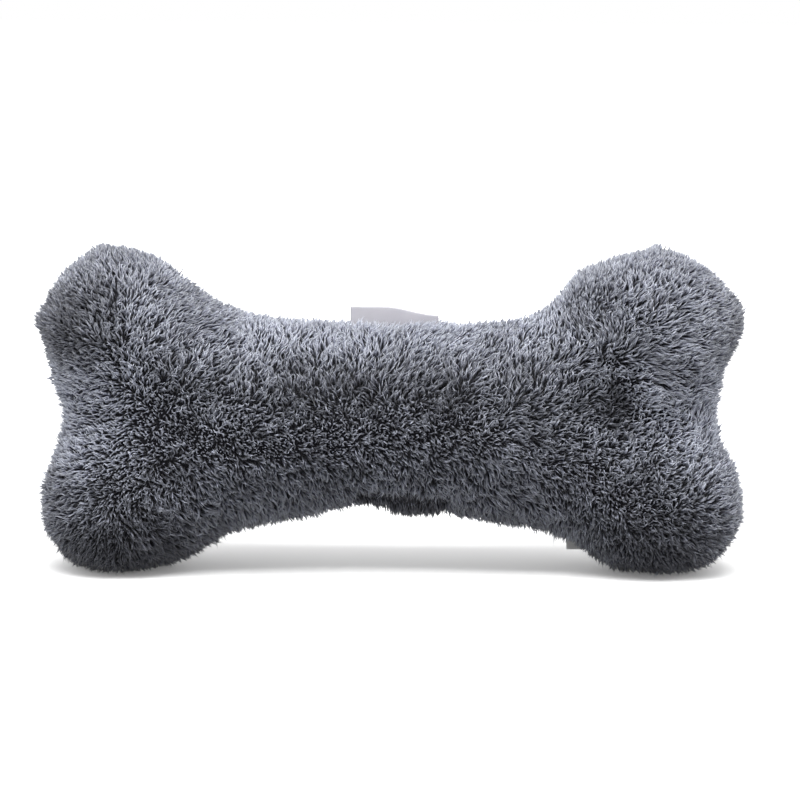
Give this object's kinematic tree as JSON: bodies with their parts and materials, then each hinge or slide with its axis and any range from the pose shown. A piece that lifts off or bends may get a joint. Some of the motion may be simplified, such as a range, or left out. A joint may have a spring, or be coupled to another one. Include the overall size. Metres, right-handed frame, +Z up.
{
  "type": "bone-shaped dog toy",
  "caption": "Bone-shaped plush dog toy with long pile, a seamed outline, a folded ribbon label and a squeaker in its shaft, standing on its lower knuckles.",
  "frame": {"origin": "on the floor, under the middle of the toy's bounding box, as it stands on edge on its two lower knuckles", "axes": "+X along the bone to the right as seen from the front, +Y to the back, +Z up; the front panel faces -Y and the seam lies in the plane Y = 0"},
  "size_m": [0.3028, 0.0774, 0.1404],
  "materials": {
    "pile_plush": "long polyester pile, combed in swirls",
    "stuffing": "loose white fibre",
    "sewing_thread": "matt twisted thread",
    "satin_ribbon": "satin weave",
    "care_ribbon": "smooth woven tape",
    "squeaker_vinyl": "soft moulded, slightly waxy",
    "reed_plastic": "moulded gloss",
    "reed_steel": "thin spring strip"
  },
  "bodies": {
    "toy": {"front_cover": "pile_plush", "back_cover": "pile_plush", "fill_shaft": "stuffing", "fill_knuckle_upper_left": "stuffing", "fill_knuckle_upper_right": "stuffing", "fill_knuckle_lower_left": "stuffing", "fill_knuckle_lower_right": "stuffing", "seam_thread": "sewing_thread", "closing_thread": "sewing_thread", "care_label": "care_ribbon", "squeaker_reed_housing": "reed_plastic", "squeaker_reed": "reed_steel"},
    "label": {"top_label": "satin_ribbon"},
    "squeaker": {"squeaker_bulb": "squeaker_vinyl"}
  },
  "joints": [
    {"name": "top_label_flap", "type": "hinge", "parent": "toy", "child": "label", "pos_m": [0.0013, 0, 0.1019], "axis": [1, 0, 0], "range_deg": [-60, 60], "stiffness_Nm_per_rad": 0.002, "deforming": ["top_label"]},
    {"name": "squeaker_squeeze", "type": "slide", "parent": "toy", "child": "squeaker", "axis": [0, 1, 0], "range_m": [0, 0.012], "stiffness_N_per_m": 800, "deforming": ["squeaker_bulb"]}
  ]
}
